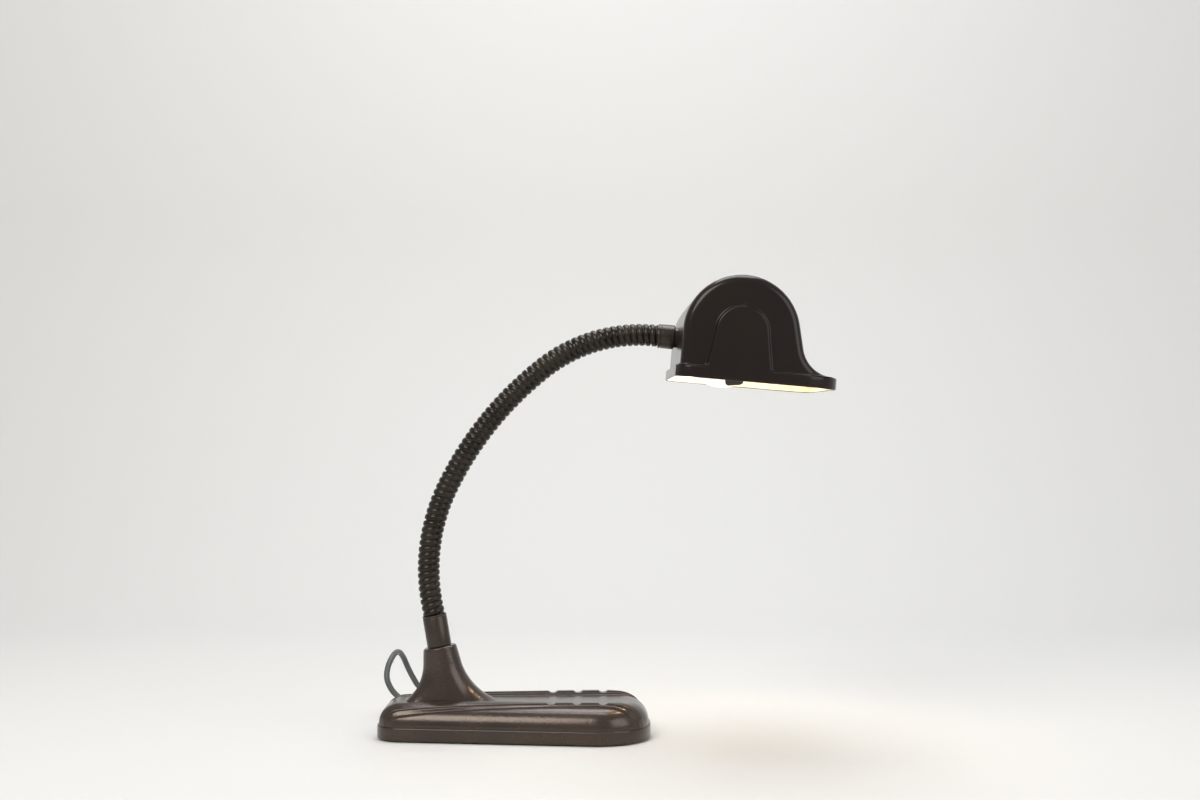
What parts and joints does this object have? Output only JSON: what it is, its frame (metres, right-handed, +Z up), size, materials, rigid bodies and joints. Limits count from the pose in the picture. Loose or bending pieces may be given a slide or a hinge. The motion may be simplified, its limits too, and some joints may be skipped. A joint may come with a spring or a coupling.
{
  "type": "gooseneck desk lamp",
  "caption": "Gooseneck desk lamp: heavy tapered base with a stem, bendable ribbed metal neck and a wide arched hood over a screw-in bulb with a turn-key switch.",
  "frame": {"origin": "centre of the base's footprint, in the plane of the felt's underside, on the table", "axes": "+Z up, +X from the stem towards the hood, +Y towards the bulb's free end and the cord's side"},
  "size_m": [0.3286, 0.2242, 0.3276],
  "materials": {
    "bronze_paint": "dark bronze hammered paint on cast iron, semi-gloss",
    "hood_enamel": "dark brown stoved paint outside, cream inside, semi-gloss",
    "hose_steel": "dark bronze lacquer on wound steel hose, satin",
    "zinc_steel": "dull zinc plate",
    "brass": "plain brass, lightly tarnished",
    "felt": "dark green felt",
    "cord_rubber": "grey-green vinyl, satin",
    "lead_sleeve": "black sleeve, matt",
    "paper_liner": "tan fibre board, matt",
    "phenolic": "dark moulded phenolic",
    "key_steel": "plain steel rod",
    "bulb_glass": "inside-frosted glass",
    "bulb_filament": "clear glass stem with wire",
    "cap_aluminium": "rolled aluminium thread",
    "contact_glass": "black vitrite with a solder contact"
  },
  "bodies": {
    "base": {"base_casting": "bronze_paint", "bottom_plate": "zinc_steel", "felt_pad": "felt", "plate_screws": "zinc_steel", "stem_nipple": "brass", "stem_washer": "zinc_steel", "stem_locknut": "brass", "lower_ferrule": "bronze_paint", "cord_relief": "cord_rubber", "base_lead": "lead_sleeve", "cord_run": "cord_rubber", "cord_coil": "cord_rubber", "plug_body": "cord_rubber", "plug_blades": "brass", "neck_hose_00": "hose_steel", "neck_lead": "lead_sleeve"},
    "neck_01": {"neck_hose_01": "hose_steel"},
    "neck_02": {"neck_hose_02": "hose_steel"},
    "neck_03": {"neck_hose_03": "hose_steel"},
    "neck_04": {"neck_hose_04": "hose_steel"},
    "neck_05": {"neck_hose_05": "hose_steel"},
    "neck_06": {"neck_hose_06": "hose_steel"},
    "neck_07": {"neck_hose_07": "hose_steel"},
    "neck_08": {"neck_hose_08": "hose_steel"},
    "neck_09": {"neck_hose_09": "hose_steel"},
    "neck_10": {"neck_hose_10": "hose_steel"},
    "neck_11": {"neck_hose_11": "hose_steel"},
    "neck_12": {"neck_hose_12": "hose_steel"},
    "neck_13": {"neck_hose_13": "hose_steel"},
    "neck_14": {"neck_hose_14": "hose_steel"},
    "neck_15": {"neck_hose_15": "hose_steel"},
    "head": {"neck_hose_16": "hose_steel", "upper_collar": "bronze_paint", "hood_nipple": "brass", "hood": "hood_enamel", "socket_bracket": "zinc_steel", "hood_washer": "zinc_steel", "hood_locknut": "brass", "socket_nipple": "brass", "socket_nut": "brass", "socket_cap": "brass", "socket_shell": "brass", "socket_liner": "paper_liner", "socket_core": "phenolic", "terminal_screws": "brass", "centre_contact": "brass", "screw_shell": "brass", "socket_lead": "lead_sleeve"},
    "bulb": {"bulb_glass": "bulb_glass", "bulb_cap": "cap_aluminium", "bulb_contact": "contact_glass", "bulb_filament": "bulb_filament"},
    "key": {"key_shaft": "key_steel", "key_paddle": "phenolic"}
  },
  "joints": [
    {"name": "neck_bend_lower", "type": "hinge", "parent": "base", "child": "neck_01", "pos_m": [-0.06098, 0, 0.10122], "axis": [0, 1, 0], "range_deg": [-8, 4], "deforming": ["neck_lead"]},
    {"name": "neck_side", "type": "hinge", "parent": "neck_01", "child": "neck_02", "pos_m": [-0.06239, 0, 0.11957], "axis": [-1, 0, -0.009], "range_deg": [-9, 9]},
    {"name": "neck_bend_lower_2", "type": "hinge", "parent": "neck_02", "child": "neck_03", "pos_m": [-0.06131, 0, 0.13794], "axis": [0, 1, 0], "range_deg": [-8, 4]},
    {"name": "neck_bend_lower_3", "type": "hinge", "parent": "neck_03", "child": "neck_04", "pos_m": [-0.05775, 0, 0.15599], "axis": [0, 1, 0], "range_deg": [-8, 4]},
    {"name": "neck_bend_middle", "type": "hinge", "parent": "neck_04", "child": "neck_05", "pos_m": [-0.05179, 0, 0.1734], "axis": [0, 1, 0], "range_deg": [-8, 4]},
    {"name": "neck_side_2", "type": "hinge", "parent": "neck_05", "child": "neck_06", "pos_m": [-0.04362, 0, 0.18988], "axis": [-0.8788, 0, 0.4773], "range_deg": [-9, 9]},
    {"name": "neck_bend_middle_2", "type": "hinge", "parent": "neck_06", "child": "neck_07", "pos_m": [-0.03424, 0, 0.20571], "axis": [0, 1, 0], "range_deg": [-8, 4]},
    {"name": "neck_bend_middle_3", "type": "hinge", "parent": "neck_07", "child": "neck_08", "pos_m": [-0.02371, 0, 0.2208], "axis": [0, 1, 0], "range_deg": [-8, 4]},
    {"name": "neck_bend_middle_4", "type": "hinge", "parent": "neck_08", "child": "neck_09", "pos_m": [-0.01208, 0, 0.23506], "axis": [0, 1, 0], "range_deg": [-8, 4]},
    {"name": "neck_side_3", "type": "hinge", "parent": "neck_09", "child": "neck_10", "pos_m": [0.00057, 0, 0.24842], "axis": [-0.6998, 0, 0.7144], "range_deg": [-9, 9]},
    {"name": "neck_bend_upper", "type": "hinge", "parent": "neck_10", "child": "neck_11", "pos_m": [0.01419, 0, 0.26079], "axis": [0, 1, 0], "range_deg": [-8, 3.5]},
    {"name": "neck_bend_upper_2", "type": "hinge", "parent": "neck_11", "child": "neck_12", "pos_m": [0.02869, 0, 0.27212], "axis": [0, 1, 0], "range_deg": [-8, 3.5]},
    {"name": "neck_bend_upper_3", "type": "hinge", "parent": "neck_12", "child": "neck_13", "pos_m": [0.04483, 0, 0.28096], "axis": [0, 1, 0], "range_deg": [-8, 3.5]},
    {"name": "neck_side_4", "type": "hinge", "parent": "neck_13", "child": "neck_14", "pos_m": [0.06219, 0, 0.28706], "axis": [-0.2543, 0, 0.9671], "range_deg": [-9, 9]},
    {"name": "neck_bend_upper_4", "type": "hinge", "parent": "neck_14", "child": "neck_15", "pos_m": [0.0803, 0, 0.29028], "axis": [0, 1, 0], "range_deg": [-8, 3.5]},
    {"name": "neck_bend_upper_5", "type": "hinge", "parent": "neck_15", "child": "head", "pos_m": [0.0987, 0, 0.29053], "axis": [0, 1, 0], "range_deg": [-8, 3.5]},
    {"name": "key_turn", "type": "hinge", "parent": "head", "child": "key", "pos_m": [0.15253, -0.064, 0.28281], "axis": [0.0698, 0, -0.9976], "continuous": true},
    {"name": "bulb_out", "type": "slide", "parent": "head", "child": "bulb", "axis": [0, 1, 0], "range_m": [0, 0.028]}
  ],
  "couplings": [
    {"joint": "neck_bend_lower_2", "follows": "neck_bend_lower", "ratio": 1},
    {"joint": "neck_bend_lower_3", "follows": "neck_bend_lower", "ratio": 1},
    {"joint": "neck_side_2", "follows": "neck_side", "ratio": 1},
    {"joint": "neck_bend_middle_2", "follows": "neck_bend_middle", "ratio": 1},
    {"joint": "neck_bend_middle_3", "follows": "neck_bend_middle", "ratio": 1},
    {"joint": "neck_bend_middle_4", "follows": "neck_bend_middle", "ratio": 1},
    {"joint": "neck_side_3", "follows": "neck_side", "ratio": 1},
    {"joint": "neck_bend_upper_2", "follows": "neck_bend_upper", "ratio": 1},
    {"joint": "neck_bend_upper_3", "follows": "neck_bend_upper", "ratio": 1},
    {"joint": "neck_side_4", "follows": "neck_side", "ratio": 1},
    {"joint": "neck_bend_upper_4", "follows": "neck_bend_upper", "ratio": 1},
    {"joint": "neck_bend_upper_5", "follows": "neck_bend_upper", "ratio": 1}
  ]
}
